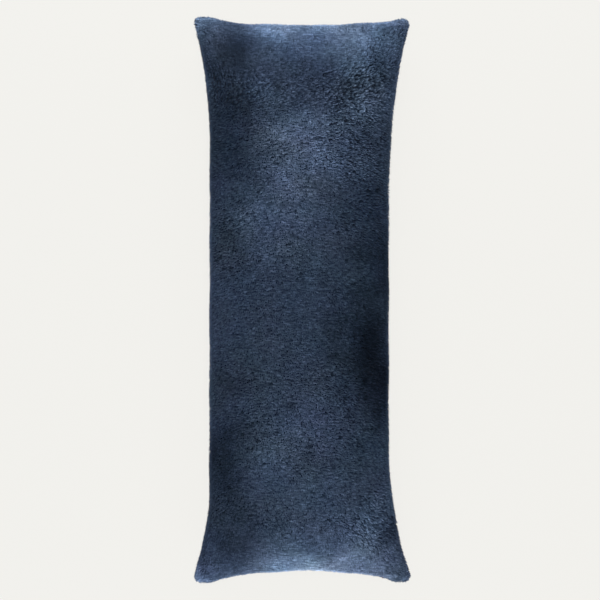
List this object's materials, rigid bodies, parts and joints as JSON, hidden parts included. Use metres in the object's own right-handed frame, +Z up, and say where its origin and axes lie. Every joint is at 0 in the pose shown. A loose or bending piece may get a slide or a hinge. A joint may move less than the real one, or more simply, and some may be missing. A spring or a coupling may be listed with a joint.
{
  "type": "body pillow",
  "caption": "Long filled body pillow in short navy plush, with a soft crown, drawn-in sides and blunt corner ears, lying on its back.",
  "frame": {"origin": "on the surface the pillow lies on, under the middle of its outline", "axes": "+Y along the length towards the head end, +X across the width, +Z up out of the front panel"},
  "size_m": [0.5114, 1.3496, 0.1967],
  "materials": {
    "plush": "short navy blue plush pile, soft and matt, with brushed lighter and darker patches"
  },
  "bodies": {
    "root": {"pillow": "plush"}
  },
  "joints": []
}
